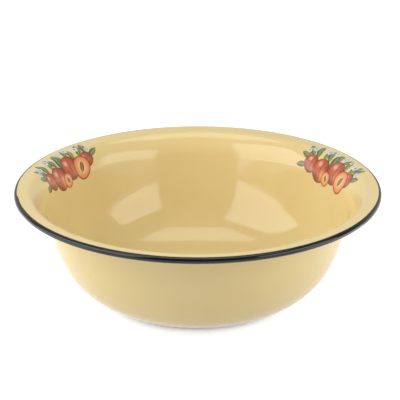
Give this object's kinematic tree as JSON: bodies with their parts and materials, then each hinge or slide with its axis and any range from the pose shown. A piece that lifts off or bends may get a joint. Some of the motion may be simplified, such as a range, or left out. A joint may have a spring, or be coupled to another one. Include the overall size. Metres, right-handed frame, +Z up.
{
  "type": "enamel basin bowl",
  "caption": "Round enamelled steel basin with a rounded body, flared wall, wide lip and rolled black rim, fruit transfers inside the lip, standing on a flat base ring.",
  "frame": {"origin": "on the floor under the middle of the base", "axes": "+Z up along the bowl's axis, -Y towards the front, so the transfers lie to the left and right of the back"},
  "size_m": [0.3599, 0.36, 0.1145],
  "materials": {
    "steel": "bare sheet under the coats",
    "cream_enamel": "gloss vitreous enamel",
    "black_enamel": "gloss vitreous enamel",
    "leaf_print": "fired transfer",
    "plum_print": "fired transfer",
    "flesh_print": "fired transfer",
    "blossom_print": "fired transfer"
  },
  "bodies": {
    "root": {"steel_shell": "steel", "outer_enamel": "cream_enamel", "inner_enamel": "cream_enamel", "rim_enamel": "black_enamel", "left_leaves": "leaf_print", "left_plums": "plum_print", "left_plum_flesh": "flesh_print", "left_blossoms": "blossom_print", "right_leaves": "leaf_print", "right_plums": "plum_print", "right_plum_flesh": "flesh_print", "right_blossoms": "blossom_print"}
  },
  "joints": []
}
